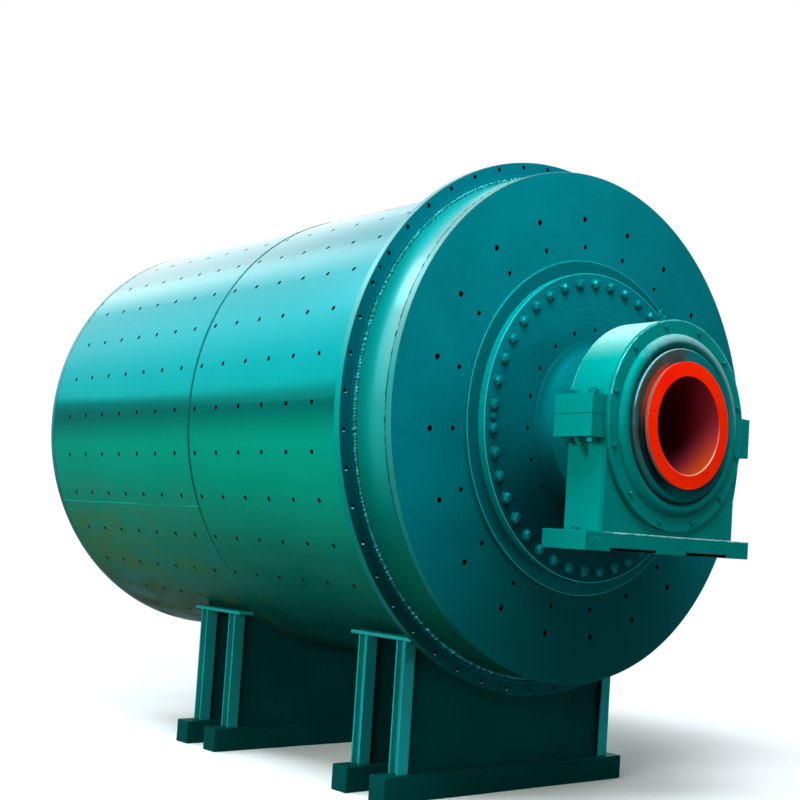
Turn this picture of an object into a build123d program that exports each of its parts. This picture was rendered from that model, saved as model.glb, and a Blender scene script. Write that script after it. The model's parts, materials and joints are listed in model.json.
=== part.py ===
from build123d import *
from math import cos, radians, sin
import os

os.makedirs("parts", exist_ok=True)

# Grinding mill standing on two shop cradles. The mill axis runs along X at axis_height above
# the ground. All sizes in millimetres.
axis_height = 2200.0
fit_gap = 0.3
seat_gap = 0.5

# Drum shell, two rolled strakes with a grid of empty liner bolt holes
drum_radius = 1500.0
shell_wall = 30.0
drum_length = 4000.0
head_thickness = 40.0
liner_rows = 34
liner_row_start = 179.6
liner_hole_radius = 15.0
liner_pitch = 250.0
liner_end_margin = 300.0
liner_flange_margin = 150.0
far_columns = 7
seam_to_column = 70.0

# Gear flange near one end of the shell
gear_flange_rise = 105.0
gear_flange_thickness = 45.0
gear_flange_setback = 300.0
gear_bolt_edge = 30.0
gear_bolt_count = 48
gear_hole_radius = 13.0
gear_dowel_hole_radius = 12.0

# Flat heads with two rings of liner holes around a machined boss
rotor_phase = 95.8
boss_margin = 80.0
boss_height = 20.0
head_inner_ring_margin = 84.0
head_outer_ring_shift = 10.5
head_ring_count = 20
head_outer_hole_radius = 17.0
head_inner_hole_radius = 14.0
spigot_wall = 180.0

# Feed and discharge liners, a tube with a round mounting flange
liner_bore_radius = 271.0
liner_tube_wall = 18.0
liner_spigot_step = 46.0
liner_spigot_length = 10.0
liner_flange_lip = 16.0
liner_flange_thickness = 22.0
liner_inner_reach = 50.0
liner_hole_edge = 43.0
liner_hole_count = 8
liner_flange_hole_radius = 7.0
liner_hole_start = 172.0

# Hollow trunnions bolted to the bosses
trunnion_bore_gap = 11.0
journal_wall = 125.0
journal_chamfer = 8.0
journal_shoulder = 15.0
journal_end_margin = 9.0
neck_fillet = 76.0
neck_length = 150.0
hub_step = 10.0
trunnion_flange_reach = 389.0
trunnion_flange_thickness = 50.0
trunnion_hole_margin = 57.0
trunnion_hole_count = 20
trunnion_hole_radius = 12.0

# Hex bolts and two dowels around the trunnion flange
flange_bolt_edge = 64.0
flange_bolt_count = 40
flange_bolt_radius = 18.0
flange_bolt_head_radius = 31.0
flange_bolt_head_height = 26.0
flange_dowel_radius = 16.0
flange_dowel_height = 16.0

# Split bearing housings
housing_gap = 151.0
housing_width = 270.0
housing_wall = 159.0
pedestal_inset = 21.0
lug_length = 103.0
cap_lug_height = 106.0
pedestal_lug_height = 122.0
rib_thickness = 22.0
rib_drop = 110.0
rib_reach = 100.0
stud_radius = 16.0
stud_inset = 53.0
stud_edge = 61.0
stud_stand_out = 22.0
nut_radius = 31.0
nut_height = 28.0
retainer_overhang = 2.0
retainer_thickness = 25.0
seal_ring_width = 79.0
seal_ring_bulge = 30.0
seal_clearance = 3.0
ring_bolt_shift = 3.5
ring_bolt_count = 12
ring_bolt_start = 166.5
ring_bolt_head_radius = 16.0
ring_bolt_head_height = 12.0
eye_ring_radius = 24.0
eye_wire_radius = 7.0
eye_shank_radius = 11.0
eye_shank_height = 26.0

# Base plates under the housings
base_clearance = 24.0
base_thickness = 102.0
base_ledge = 18.0
base_overhang = 147.0
relief_inner = 130.0
relief_length = 375.0
relief_depth = 18.0
base_screw_edge = 84.0
base_screw_head_radius = 24.0
base_screw_head_height = 18.0

# Shop cradles under the drum
cradle_gear_gap = 75.0
cradle_spacing = 1780.0
cradle_length = 560.0
saddle_half_angle = 32.0
saddle_thickness = 20.0
web_inset = 105.0
web_thickness = 16.0
post_size = 80.0
post_flange = 12.0
post_web = 8.0
post_clearance = 15.0
lip_overhang = 10.0
sill_height = 150.0
sill_width = 140.0
sill_overhang = 150.0
tie_width = 120.0
tie_height = 100.0
tie_inset = 250.0

# Places along the mill axis
head_x = drum_length / 2.0
shell_end_x = head_x - head_thickness
boss_face_x = head_x + boss_height
flange_face_x = boss_face_x + trunnion_flange_thickness
hub_face_x = flange_face_x + hub_step
neck_end_x = hub_face_x + neck_length
housing_rear_x = neck_end_x + housing_gap
bearing_x = housing_rear_x + housing_width / 2.0
housing_front_x = housing_rear_x + housing_width
retainer_face_x = housing_front_x + retainer_thickness
journal_end_x = retainer_face_x + seal_ring_bulge + journal_end_margin
liner_flange_x = journal_end_x + liner_spigot_length
liner_inner_x = shell_end_x - liner_inner_reach
gear_face_x = head_x - gear_flange_setback
gear_back_x = gear_face_x - gear_flange_thickness
far_first_x = -head_x + liner_end_margin
near_first_x = far_first_x + far_columns * liner_pitch
strake_seam_x = near_first_x - seam_to_column
near_columns = int((gear_back_x - liner_flange_margin - near_first_x) // liner_pitch) + 1
cradle_b_x = gear_back_x - cradle_gear_gap - cradle_length / 2.0
cradle_a_x = cradle_b_x - cradle_spacing

# Radii around the mill axis, from the bore outwards
liner_tube_radius = liner_bore_radius + liner_tube_wall
liner_spigot_radius = liner_tube_radius + liner_spigot_step
liner_flange_radius = liner_spigot_radius + liner_flange_lip
liner_hole_circle_radius = liner_flange_radius - liner_hole_edge
trunnion_bore_radius = liner_tube_radius + trunnion_bore_gap
journal_radius = trunnion_bore_radius + journal_wall
neck_radius = journal_radius + journal_shoulder
hub_radius = neck_radius + neck_fillet
head_bore_radius = trunnion_bore_radius + spigot_wall
trunnion_hole_circle_radius = hub_radius + trunnion_hole_margin
trunnion_flange_radius = hub_radius + trunnion_flange_reach
flange_bolt_circle_radius = trunnion_flange_radius - flange_bolt_edge
boss_radius = trunnion_flange_radius + boss_margin
head_inner_ring_radius = boss_radius + head_inner_ring_margin
head_outer_ring_radius = (boss_radius + drum_radius) / 2.0 - head_outer_ring_shift
gear_flange_radius = drum_radius + gear_flange_rise
gear_bolt_circle_radius = gear_flange_radius - gear_bolt_edge
housing_radius = journal_radius + housing_wall
housing_bore_radius = journal_radius + fit_gap
retainer_radius = housing_radius + retainer_overhang
seal_inner_radius = journal_radius + seal_clearance
seal_ring_radius = seal_inner_radius + seal_ring_width
ring_bolt_circle_radius = (retainer_radius + seal_ring_radius) / 2.0 + ring_bolt_shift

# Places across the mill axis
pedestal_half_width = housing_radius - pedestal_inset
lug_reach = housing_radius + lug_length
stud_offset_x = housing_width / 2.0 - stud_inset
stud_offset_y = lug_reach - stud_edge
base_drop = retainer_radius + base_clearance
base_top_z = axis_height - base_drop
base_bottom_z = base_top_z - base_thickness
base_width = housing_width + 2.0 * base_ledge
base_half_length = pedestal_half_width + base_overhang
base_screw_offset = base_half_length - base_screw_edge
relief_outer = relief_inner + relief_length
saddle_radius = drum_radius + seat_gap
lip_depth = saddle_radius * cos(radians(saddle_half_angle))
lip_inner_y = saddle_radius * sin(radians(saddle_half_angle))
post_y = lip_inner_y + post_clearance + post_size / 2.0
lip_outer_y = post_y + post_size / 2.0 + lip_overhang
post_top_z = axis_height - lip_depth - saddle_thickness
web_offset_x = cradle_length / 2.0 - web_inset
sill_half_length = post_y + sill_overhang
tie_y = post_y - tie_inset

mill_axis = Axis((0, 0, axis_height), (1, 0, 0))
profile_plane = Plane(origin=(0, 0, axis_height), x_dir=(1, 0, 0), z_dir=(0, -1, 0))


# A plane across the mill axis, facing +X, with local x along Y and local y up
def across(x):
    return Plane(origin=(x, 0, axis_height), x_dir=(0, 1, 0), z_dir=(1, 0, 0))


# Places of radial holes, one per liner bolt, on the given columns
def liner_spots(first_x, count):
    spots = []
    for column in range(count):
        for row in range(liner_rows):
            turn = radians(liner_row_start + row * 360.0 / liner_rows)
            out = Vector(0, cos(turn), sin(turn))
            centre = Vector(first_x + column * liner_pitch, 0, axis_height)
            spots.append(Plane(origin=centre + out * (drum_radius - shell_wall / 2), z_dir=out).location)
    return spots


# Shell strakes
with BuildPart() as shell_far_strake:
    with BuildSketch(across(-shell_end_x)):
        Circle(drum_radius)
        Circle(drum_radius - shell_wall, mode=Mode.SUBTRACT)
    extrude(amount=shell_end_x + strake_seam_x)
    with Locations(liner_spots(far_first_x, far_columns)):
        Cylinder(liner_hole_radius, 2 * shell_wall, mode=Mode.SUBTRACT)
shell_far_strake.part.label = "shell_far_strake"
export_step(shell_far_strake.part, "parts/shell_far_strake.step")

with BuildPart() as shell_near_strake:
    with BuildSketch(across(strake_seam_x)):
        Circle(drum_radius)
        Circle(drum_radius - shell_wall, mode=Mode.SUBTRACT)
    extrude(amount=shell_end_x - strake_seam_x)
    with Locations(liner_spots(near_first_x, near_columns)):
        Cylinder(liner_hole_radius, 2 * shell_wall, mode=Mode.SUBTRACT)
shell_near_strake.part.label = "shell_near_strake"
export_step(shell_near_strake.part, "parts/shell_near_strake.step")

# Gear flange
with BuildPart() as gear_flange:
    with BuildSketch(across(gear_face_x)):
        Circle(gear_flange_radius)
        Circle(drum_radius, mode=Mode.SUBTRACT)
        with PolarLocations(gear_bolt_circle_radius, gear_bolt_count, rotor_phase):
            Circle(gear_hole_radius, mode=Mode.SUBTRACT)
        with PolarLocations(gear_bolt_circle_radius, 2, rotor_phase + 7.5 * 360.0 / gear_bolt_count):
            Circle(gear_dowel_hole_radius, mode=Mode.SUBTRACT)
    extrude(amount=-gear_flange_thickness)
gear_flange.part.label = "gear_flange"
export_step(gear_flange.part, "parts/gear_flange.step")

# Heads
with BuildPart() as head_near:
    with BuildSketch(across(shell_end_x)):
        Circle(drum_radius)
    extrude(amount=head_thickness)
    with BuildSketch(across(head_x)):
        Circle(boss_radius)
    extrude(amount=boss_height)
    with BuildSketch(across(shell_end_x)):
        Circle(head_bore_radius)
        with PolarLocations(head_outer_ring_radius, head_ring_count, rotor_phase):
            Circle(head_outer_hole_radius)
        with PolarLocations(head_inner_ring_radius, head_ring_count, rotor_phase):
            Circle(head_inner_hole_radius)
    extrude(amount=head_thickness + boss_height, mode=Mode.SUBTRACT)
head_near.part.label = "head_near"
export_step(head_near.part, "parts/head_near.step")

with BuildPart() as head_far:
    mirror(head_near.part, about=Plane.YZ)
head_far.part.label = "head_far"
export_step(head_far.part, "parts/head_far.step")

# Trunnions
spigot_radius = head_bore_radius - fit_gap
with BuildPart() as trunnion_near:
    with BuildSketch(profile_plane):
        with BuildLine():
            Polyline(
                (hub_face_x, hub_radius),
                (flange_face_x, hub_radius),
                (flange_face_x, trunnion_flange_radius),
                (boss_face_x, trunnion_flange_radius),
                (boss_face_x, spigot_radius),
                (shell_end_x, spigot_radius),
                (shell_end_x, trunnion_bore_radius),
                (journal_end_x, trunnion_bore_radius),
                (journal_end_x, journal_radius - journal_chamfer),
                (journal_end_x - journal_chamfer, journal_radius),
                (neck_end_x, journal_radius),
                (neck_end_x, neck_radius),
                (hub_face_x + neck_fillet, neck_radius),
            )
            RadiusArc((hub_face_x + neck_fillet, neck_radius), (hub_face_x, hub_radius), neck_fillet)
        make_face()
    revolve(axis=mill_axis)
    with BuildSketch(across(boss_face_x)):
        with PolarLocations(trunnion_hole_circle_radius, trunnion_hole_count, rotor_phase):
            Circle(trunnion_hole_radius)
        with PolarLocations(flange_bolt_circle_radius, flange_bolt_count, rotor_phase):
            Circle(flange_bolt_radius + fit_gap)
    extrude(amount=trunnion_flange_thickness, mode=Mode.SUBTRACT)
trunnion_near.part.label = "trunnion_near"
export_step(trunnion_near.part, "parts/trunnion_near.step")

with BuildPart() as trunnion_far:
    mirror(trunnion_near.part, about=Plane.YZ)
trunnion_far.part.label = "trunnion_far"
export_step(trunnion_far.part, "parts/trunnion_far.step")

# Trunnion flange bolts and dowels
with BuildPart() as flange_bolts_near:
    with BuildSketch(across(boss_face_x)):
        with PolarLocations(flange_bolt_circle_radius, flange_bolt_count, rotor_phase):
            Circle(flange_bolt_radius)
    extrude(amount=trunnion_flange_thickness)
    with BuildSketch(across(flange_face_x)):
        with PolarLocations(flange_bolt_circle_radius, flange_bolt_count, rotor_phase):
            RegularPolygon(flange_bolt_head_radius, 6)
    extrude(amount=flange_bolt_head_height)
    with BuildSketch(across(flange_face_x)):
        with PolarLocations(flange_bolt_circle_radius, 2, rotor_phase + 9.5 * 360.0 / flange_bolt_count):
            Circle(flange_dowel_radius)
    extrude(amount=flange_dowel_height)
flange_bolts_near.part.label = "flange_bolts_near"
export_step(flange_bolts_near.part, "parts/flange_bolts_near.step")

with BuildPart() as flange_bolts_far:
    mirror(flange_bolts_near.part, about=Plane.YZ)
flange_bolts_far.part.label = "flange_bolts_far"
export_step(flange_bolts_far.part, "parts/flange_bolts_far.step")

# Feed and discharge liners
with BuildPart() as liner_near:
    with BuildSketch(across(liner_inner_x)):
        Circle(liner_tube_radius)
    extrude(amount=liner_flange_x - liner_inner_x)
    with BuildSketch(across(journal_end_x)):
        Circle(liner_spigot_radius)
    extrude(amount=liner_spigot_length)
    with BuildSketch(across(liner_flange_x)):
        Circle(liner_flange_radius)
        with PolarLocations(liner_hole_circle_radius, liner_hole_count, liner_hole_start):
            Circle(liner_flange_hole_radius, mode=Mode.SUBTRACT)
    extrude(amount=liner_flange_thickness)
    with BuildSketch(across(liner_inner_x)):
        Circle(liner_bore_radius)
    extrude(amount=liner_flange_x + liner_flange_thickness - liner_inner_x, mode=Mode.SUBTRACT)
liner_near.part.label = "liner_near"
export_step(liner_near.part, "parts/liner_near.step")

with BuildPart() as liner_far:
    mirror(liner_near.part, about=Plane.YZ)
liner_far.part.label = "liner_far"
export_step(liner_far.part, "parts/liner_far.step")

# Base plates
with BuildPart() as base_plate_near:
    with BuildSketch(Plane.XY.offset(base_bottom_z)):
        with Locations((bearing_x, 0)):
            Rectangle(base_width, 2 * base_half_length)
    extrude(amount=base_thickness)
    with BuildSketch(Plane.XY.offset(base_bottom_z)):
        with Locations((bearing_x, (relief_inner + relief_outer) / 2)):
            Rectangle(base_width, relief_outer - relief_inner)
        with Locations((bearing_x, -(relief_inner + relief_outer) / 2)):
            Rectangle(base_width, relief_outer - relief_inner)
    extrude(amount=relief_depth, mode=Mode.SUBTRACT)
base_plate_near.part.label = "base_plate_near"
export_step(base_plate_near.part, "parts/base_plate_near.step")

with BuildPart() as base_plate_far:
    mirror(base_plate_near.part, about=Plane.YZ)
base_plate_far.part.label = "base_plate_far"
export_step(base_plate_far.part, "parts/base_plate_far.step")

# Pedestals, the lower halves of the housings
stud_clear_radius = stud_radius + fit_gap
with BuildPart() as pedestal_near:
    with BuildSketch(across(housing_rear_x)):
        with Locations((0, -base_drop / 2)):
            Rectangle(2 * pedestal_half_width, base_drop)
        with Locations((0, -pedestal_lug_height / 2)):
            Rectangle(2 * lug_reach, pedestal_lug_height)
        Circle(housing_bore_radius, mode=Mode.SUBTRACT)
    extrude(amount=housing_width)
    with BuildSketch(across(bearing_x)):
        for side in (-1, 1):
            with BuildLine():
                Polyline(
                    (side * pedestal_half_width, -pedestal_lug_height),
                    (side * (pedestal_half_width + rib_reach), -pedestal_lug_height),
                    (side * pedestal_half_width, -pedestal_lug_height - rib_drop),
                    close=True,
                )
            make_face()
    extrude(amount=rib_thickness / 2, both=True)
    with BuildSketch(Plane.XY.offset(axis_height)):
        with Locations((bearing_x, 0)):
            with GridLocations(2 * stud_offset_x, 2 * stud_offset_y, 2, 2):
                Circle(stud_clear_radius)
    extrude(amount=-pedestal_lug_height, mode=Mode.SUBTRACT)
pedestal_near.part.label = "pedestal_near"
export_step(pedestal_near.part, "parts/pedestal_near.step")

with BuildPart() as pedestal_far:
    mirror(pedestal_near.part, about=Plane.YZ)
pedestal_far.part.label = "pedestal_far"
export_step(pedestal_far.part, "parts/pedestal_far.step")

# Caps, the upper halves of the housings
with BuildPart() as cap_near:
    with BuildSketch(across(housing_rear_x)):
        Circle(housing_radius)
        with Locations((0, cap_lug_height / 2)):
            Rectangle(2 * lug_reach, cap_lug_height)
        with Locations((0, -housing_radius)):
            Rectangle(3 * housing_radius, 2 * housing_radius, mode=Mode.SUBTRACT)
        Circle(housing_bore_radius, mode=Mode.SUBTRACT)
    extrude(amount=housing_width)
    with BuildSketch(Plane.XY.offset(axis_height)):
        with Locations((bearing_x, 0)):
            with GridLocations(2 * stud_offset_x, 2 * stud_offset_y, 2, 2):
                Circle(stud_clear_radius)
    extrude(amount=cap_lug_height, mode=Mode.SUBTRACT)
cap_near.part.label = "cap_near"
export_step(cap_near.part, "parts/cap_near.step")

with BuildPart() as cap_far:
    mirror(cap_near.part, about=Plane.YZ)
cap_far.part.label = "cap_far"
export_step(cap_far.part, "parts/cap_far.step")

# Cap studs with a nut at each end
with BuildPart() as cap_studs_near:
    with BuildSketch(Plane.XY.offset(axis_height - pedestal_lug_height - nut_height)):
        with Locations((bearing_x, 0)):
            with GridLocations(2 * stud_offset_x, 2 * stud_offset_y, 2, 2):
                Circle(stud_radius)
    extrude(amount=pedestal_lug_height + cap_lug_height + 2 * nut_height + stud_stand_out)
    with BuildSketch(Plane.XY.offset(axis_height - pedestal_lug_height)):
        with Locations((bearing_x, 0)):
            with GridLocations(2 * stud_offset_x, 2 * stud_offset_y, 2, 2):
                RegularPolygon(nut_radius, 6)
    extrude(amount=-nut_height)
    with BuildSketch(Plane.XY.offset(axis_height + cap_lug_height)):
        with Locations((bearing_x, 0)):
            with GridLocations(2 * stud_offset_x, 2 * stud_offset_y, 2, 2):
                RegularPolygon(nut_radius, 6)
    extrude(amount=nut_height)
cap_studs_near.part.label = "cap_studs_near"
export_step(cap_studs_near.part, "parts/cap_studs_near.step")

with BuildPart() as cap_studs_far:
    mirror(cap_studs_near.part, about=Plane.YZ)
cap_studs_far.part.label = "cap_studs_far"
export_step(cap_studs_far.part, "parts/cap_studs_far.step")

# Outer retainer rings
with BuildPart() as retainer_ring_near:
    with BuildSketch(across(housing_front_x)):
        Circle(retainer_radius)
        Circle(journal_radius + seal_clearance, mode=Mode.SUBTRACT)
    extrude(amount=retainer_thickness)
retainer_ring_near.part.label = "retainer_ring_near"
export_step(retainer_ring_near.part, "parts/retainer_ring_near.step")

with BuildPart() as retainer_ring_far:
    mirror(retainer_ring_near.part, about=Plane.YZ)
retainer_ring_far.part.label = "retainer_ring_far"
export_step(retainer_ring_far.part, "parts/retainer_ring_far.step")

# Rounded seal rings in front of the retainer rings
seal_middle_radius = (seal_ring_radius + seal_inner_radius) / 2
with BuildPart() as seal_ring_near:
    with BuildSketch(profile_plane):
        with BuildLine():
            Line((retainer_face_x, seal_ring_radius), (retainer_face_x, seal_inner_radius))
            ThreePointArc(
                (retainer_face_x, seal_inner_radius),
                (retainer_face_x + seal_ring_bulge, seal_middle_radius),
                (retainer_face_x, seal_ring_radius),
            )
        make_face()
    revolve(axis=mill_axis)
seal_ring_near.part.label = "seal_ring_near"
export_step(seal_ring_near.part, "parts/seal_ring_near.step")

with BuildPart() as seal_ring_far:
    mirror(seal_ring_near.part, about=Plane.YZ)
seal_ring_far.part.label = "seal_ring_far"
export_step(seal_ring_far.part, "parts/seal_ring_far.step")

# Ring bolts
with BuildPart() as ring_bolts_near:
    with BuildSketch(across(retainer_face_x)):
        with PolarLocations(ring_bolt_circle_radius, ring_bolt_count, ring_bolt_start):
            RegularPolygon(ring_bolt_head_radius, 6)
    extrude(amount=ring_bolt_head_height)
ring_bolts_near.part.label = "ring_bolts_near"
export_step(ring_bolts_near.part, "parts/ring_bolts_near.step")

with BuildPart() as ring_bolts_far:
    mirror(ring_bolts_near.part, about=Plane.YZ)
ring_bolts_far.part.label = "ring_bolts_far"
export_step(ring_bolts_far.part, "parts/ring_bolts_far.step")

# Lifting eyes on the cap crowns
eye_centre_z = axis_height + housing_radius + eye_shank_height + eye_ring_radius
with BuildPart() as eyebolt_near:
    with BuildSketch(Plane.XY.offset(axis_height + housing_radius)):
        with Locations((bearing_x, 0)):
            Circle(eye_shank_radius)
    extrude(amount=eye_shank_height)
    with Locations(Plane(origin=(bearing_x, 0, eye_centre_z), z_dir=(1, 0, 0)).location):
        Torus(eye_ring_radius, eye_wire_radius)
eyebolt_near.part.label = "eyebolt_near"
export_step(eyebolt_near.part, "parts/eyebolt_near.step")

with BuildPart() as eyebolt_far:
    mirror(eyebolt_near.part, about=Plane.YZ)
eyebolt_far.part.label = "eyebolt_far"
export_step(eyebolt_far.part, "parts/eyebolt_far.step")

# Hex screws at the base plate ends
with BuildPart() as base_screws_near:
    with BuildSketch(Plane.XY.offset(base_top_z)):
        with Locations((bearing_x, base_screw_offset), (bearing_x, -base_screw_offset)):
            RegularPolygon(base_screw_head_radius, 6)
    extrude(amount=base_screw_head_height)
base_screws_near.part.label = "base_screws_near"
export_step(base_screws_near.part, "parts/base_screws_near.step")

with BuildPart() as base_screws_far:
    mirror(base_screws_near.part, about=Plane.YZ)
base_screws_far.part.label = "base_screws_far"
export_step(base_screws_far.part, "parts/base_screws_far.step")

# Cradles, each a curved saddle on two webs, four posts, two sills and two ties
web_half_width = post_y - post_web / 2
flute_depth = (post_size - post_web) / 2
flute_y = (post_size + post_web) / 4
sector_half_width = 2 * saddle_radius * sin(radians(saddle_half_angle))
sector_depth = 2 * saddle_radius * cos(radians(saddle_half_angle))
for name, centre_x in (("a", cradle_a_x), ("b", cradle_b_x)):
    left_x = centre_x - cradle_length / 2
    with BuildPart() as saddle:
        with BuildSketch(across(left_x)):
            Circle(saddle_radius + saddle_thickness)
            with BuildLine():
                Polyline(
                    (0, 0),
                    (sector_half_width, -sector_depth),
                    (-sector_half_width, -sector_depth),
                    close=True,
                )
            make_face(mode=Mode.INTERSECT)
            for side in (-1, 1):
                with Locations((side * (lip_inner_y + lip_outer_y) / 2, -lip_depth - saddle_thickness / 2)):
                    Rectangle(lip_outer_y - lip_inner_y, saddle_thickness)
            Circle(saddle_radius, mode=Mode.SUBTRACT)
        extrude(amount=cradle_length)
    saddle.part.label = "cradle_" + name + "_saddle"
    export_step(saddle.part, "parts/cradle_" + name + "_saddle.step")

    with BuildPart() as webs:
        for place in (-1, 1):
            with BuildSketch(across(centre_x + place * web_offset_x)):
                with BuildLine():
                    Polyline(
                        (-web_half_width, post_top_z - axis_height),
                        (web_half_width, post_top_z - axis_height),
                        (web_half_width, sill_height - axis_height),
                        (-web_half_width, sill_height - axis_height),
                        close=True,
                    )
                make_face()
                Circle(saddle_radius + saddle_thickness, mode=Mode.SUBTRACT)
            extrude(amount=web_thickness / 2, both=True)
    webs.part.label = "cradle_" + name + "_webs"
    export_step(webs.part, "parts/cradle_" + name + "_webs.step")

    with BuildPart() as posts:
        with BuildSketch(Plane.XY.offset(sill_height)):
            with Locations((centre_x, 0)):
                with GridLocations(2 * web_offset_x, 2 * post_y, 2, 2):
                    Rectangle(post_size, post_size)
                with GridLocations(2 * web_offset_x, 2 * post_y, 2, 2):
                    with Locations((0, flute_y), (0, -flute_y)):
                        Rectangle(post_size - 2 * post_flange, flute_depth, mode=Mode.SUBTRACT)
        extrude(amount=post_top_z - sill_height)
    posts.part.label = "cradle_" + name + "_posts"
    export_step(posts.part, "parts/cradle_" + name + "_posts.step")

    with BuildPart() as sills:
        with BuildSketch(Plane.XY):
            with Locations((centre_x - web_offset_x, 0), (centre_x + web_offset_x, 0)):
                Rectangle(sill_width, 2 * sill_half_length)
        extrude(amount=sill_height)
        with BuildSketch(Plane.XY):
            with Locations((centre_x, tie_y), (centre_x, -tie_y)):
                Rectangle(2 * web_offset_x, tie_width)
        extrude(amount=tie_height)
    sills.part.label = "cradle_" + name + "_sills"
    export_step(sills.part, "parts/cradle_" + name + "_sills.step")
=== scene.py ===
import json
import math
import random

import bpy
from mathutils import Matrix, Vector, noise


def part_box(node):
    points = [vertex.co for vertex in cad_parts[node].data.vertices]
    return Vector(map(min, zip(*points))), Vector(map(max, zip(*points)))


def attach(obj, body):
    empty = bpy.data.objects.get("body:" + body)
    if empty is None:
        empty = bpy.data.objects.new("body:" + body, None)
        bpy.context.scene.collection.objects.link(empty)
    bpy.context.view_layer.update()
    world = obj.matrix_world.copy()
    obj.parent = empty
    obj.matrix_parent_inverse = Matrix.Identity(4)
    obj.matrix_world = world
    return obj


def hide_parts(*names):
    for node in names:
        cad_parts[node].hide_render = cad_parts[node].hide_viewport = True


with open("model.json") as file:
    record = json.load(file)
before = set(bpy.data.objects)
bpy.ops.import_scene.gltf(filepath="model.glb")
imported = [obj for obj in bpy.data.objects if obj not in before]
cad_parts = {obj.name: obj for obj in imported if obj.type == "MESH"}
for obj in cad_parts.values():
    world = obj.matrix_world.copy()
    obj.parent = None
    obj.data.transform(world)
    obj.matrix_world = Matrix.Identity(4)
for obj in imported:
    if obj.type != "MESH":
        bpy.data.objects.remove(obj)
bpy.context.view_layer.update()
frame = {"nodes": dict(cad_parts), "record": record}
nodes = frame["nodes"]
ROTOR = set(frame["record"]["behaviour"]["bodies"]["rotor"])
ENDS = (("near", 1), ("far", -1))

# Places read from the frame, in metres, at the near end of the mill
gear_low, gear_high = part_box("gear_flange")
strake_low, strake_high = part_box("shell_near_strake")
cap_low, cap_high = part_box("cap_near")
base_low, base_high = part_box("base_plate_near")
AXIS_Z = (gear_low.z + gear_high.z) / 2
MILL_AXIS = Vector((0, 0, AXIS_Z))
GEAR_BACK_X, GEAR_FACE_X, GEAR_R = gear_low.x, gear_high.x, gear_high.y
SEAM_X, SHELL_END_X, DRUM_R = strake_low.x, strake_high.x, strake_high.y
CAP_REAR_X, CAP_FRONT_X = cap_low.x, cap_high.x
BEARING_X = (CAP_REAR_X + CAP_FRONT_X) / 2
RETAINER_FACE_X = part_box("retainer_ring_near")[1].x
JOURNAL_END_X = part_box("trunnion_near")[1].x
LINER_FACE_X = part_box("liner_near")[1].x
BASE_FACE_X, BASE_HALF = base_high.x, base_high.y
BASE_LOW_Z, BASE_TOP_Z = base_low.z, base_high.z

# Places and sizes that the frame doesn't give, in metres and degrees
HEAD_X = SHELL_END_X + 0.040
BOSS_FACE_X = HEAD_X + 0.020
FLANGE_FACE_X = HEAD_X + 0.070
BOSS_R = 0.985
FLANGE_R = 0.905
HOUSING_R = 0.584
HUB_R = 0.516
JOURNAL_R = 0.425
TRUNNION_BORE_R = 0.300
LINER_BORE_R, LINER_FLANGE_R = 0.271, 0.351
ROTOR_PHASE = 95.8
GEAR_SCRIBE_R = 1.530
GEAR_BOLT_CIRCLE, GEAR_BOLTS = 1.575, 48
FLANGE_BOLT_CIRCLE, FLANGE_BOLTS = 0.841, 40
FLANGE_DOWELS = (9.5, 29.5)
SMALL_HOLE_CIRCLE = 0.573
RING_BOLT_CIRCLE, RING_BOLTS, RING_BOLT_START = 0.550, 12, 166.5
STUD_X, STUD_Y = 0.082, 0.626
CAP_LUG_H, PEDESTAL_LUG_H = 0.106, 0.122
BASE_SCREW_Y = 0.626
RELIEF_INNER_Y, RELIEF_OUTER_Y = 0.129, 0.506
CRADLE_LIP_Y, CRADLE_LIP_Z = 0.793, 0.900
LONG_WELD_DEGREES = 203.5
CRADLE_TONE = (0.010, 0.255, 0.260)

# The camera's place and directions, and its lens and picture centre in pixels
CAMERA_PLACE = Vector((7.16027, -5.65809, 1.51078))
CAMERA_RIGHT = Vector((0.66445727, 0.74468448, 0.06278189))
CAMERA_UP = Vector((0.00171296, -0.08552609, 0.99633446))
PICTURE_SIZE = 800
LENS_PIXELS = 1294.0
CENTRE_ACROSS, CENTRE_DOWN = 447.5, 461.4

random.seed(7)


# Selection and finishing of pieces
def select_only(*pieces):
    bpy.ops.object.select_all(action="DESELECT")
    for piece in pieces:
        piece.select_set(True)
    bpy.context.view_layer.objects.active = pieces[0]


def settle(piece):
    select_only(piece)
    bpy.ops.object.transform_apply(location=True, rotation=True, scale=True)


def join(*pieces):
    select_only(*pieces)
    bpy.ops.object.join()


# Opens a piece in edit mode with only the edges or polygons selected that a rule picks
def open_with(piece, kind, rule):
    select_only(piece)
    bpy.context.tool_settings.mesh_select_mode = (False, kind == "edges", kind == "polygons")
    bpy.ops.object.mode_set(mode="EDIT")
    bpy.ops.mesh.select_all(action="DESELECT")
    bpy.ops.object.mode_set(mode="OBJECT")
    for item in getattr(piece.data, kind):
        item.select = rule(item)
    bpy.ops.object.mode_set(mode="EDIT")


def apply_modifiers(piece):
    select_only(piece)
    for modifier in list(piece.modifiers):
        bpy.ops.object.modifier_apply(modifier=modifier.name)


def smooth(piece, angle):
    select_only(piece)
    bpy.ops.object.shade_smooth_by_angle(angle=math.radians(angle))


def coat(piece, finish):
    piece.data.materials.clear()
    piece.data.materials.append(finish)


def dress(piece, finish, body):
    coat(piece, finish)
    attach(piece, body)


# A point at an angle round the mill axis, counted from +Y towards +Z
def round_axis(x, radius, degrees):
    turn = math.radians(degrees)
    return Vector((x, radius * math.cos(turn), AXIS_Z + radius * math.sin(turn)))


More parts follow.
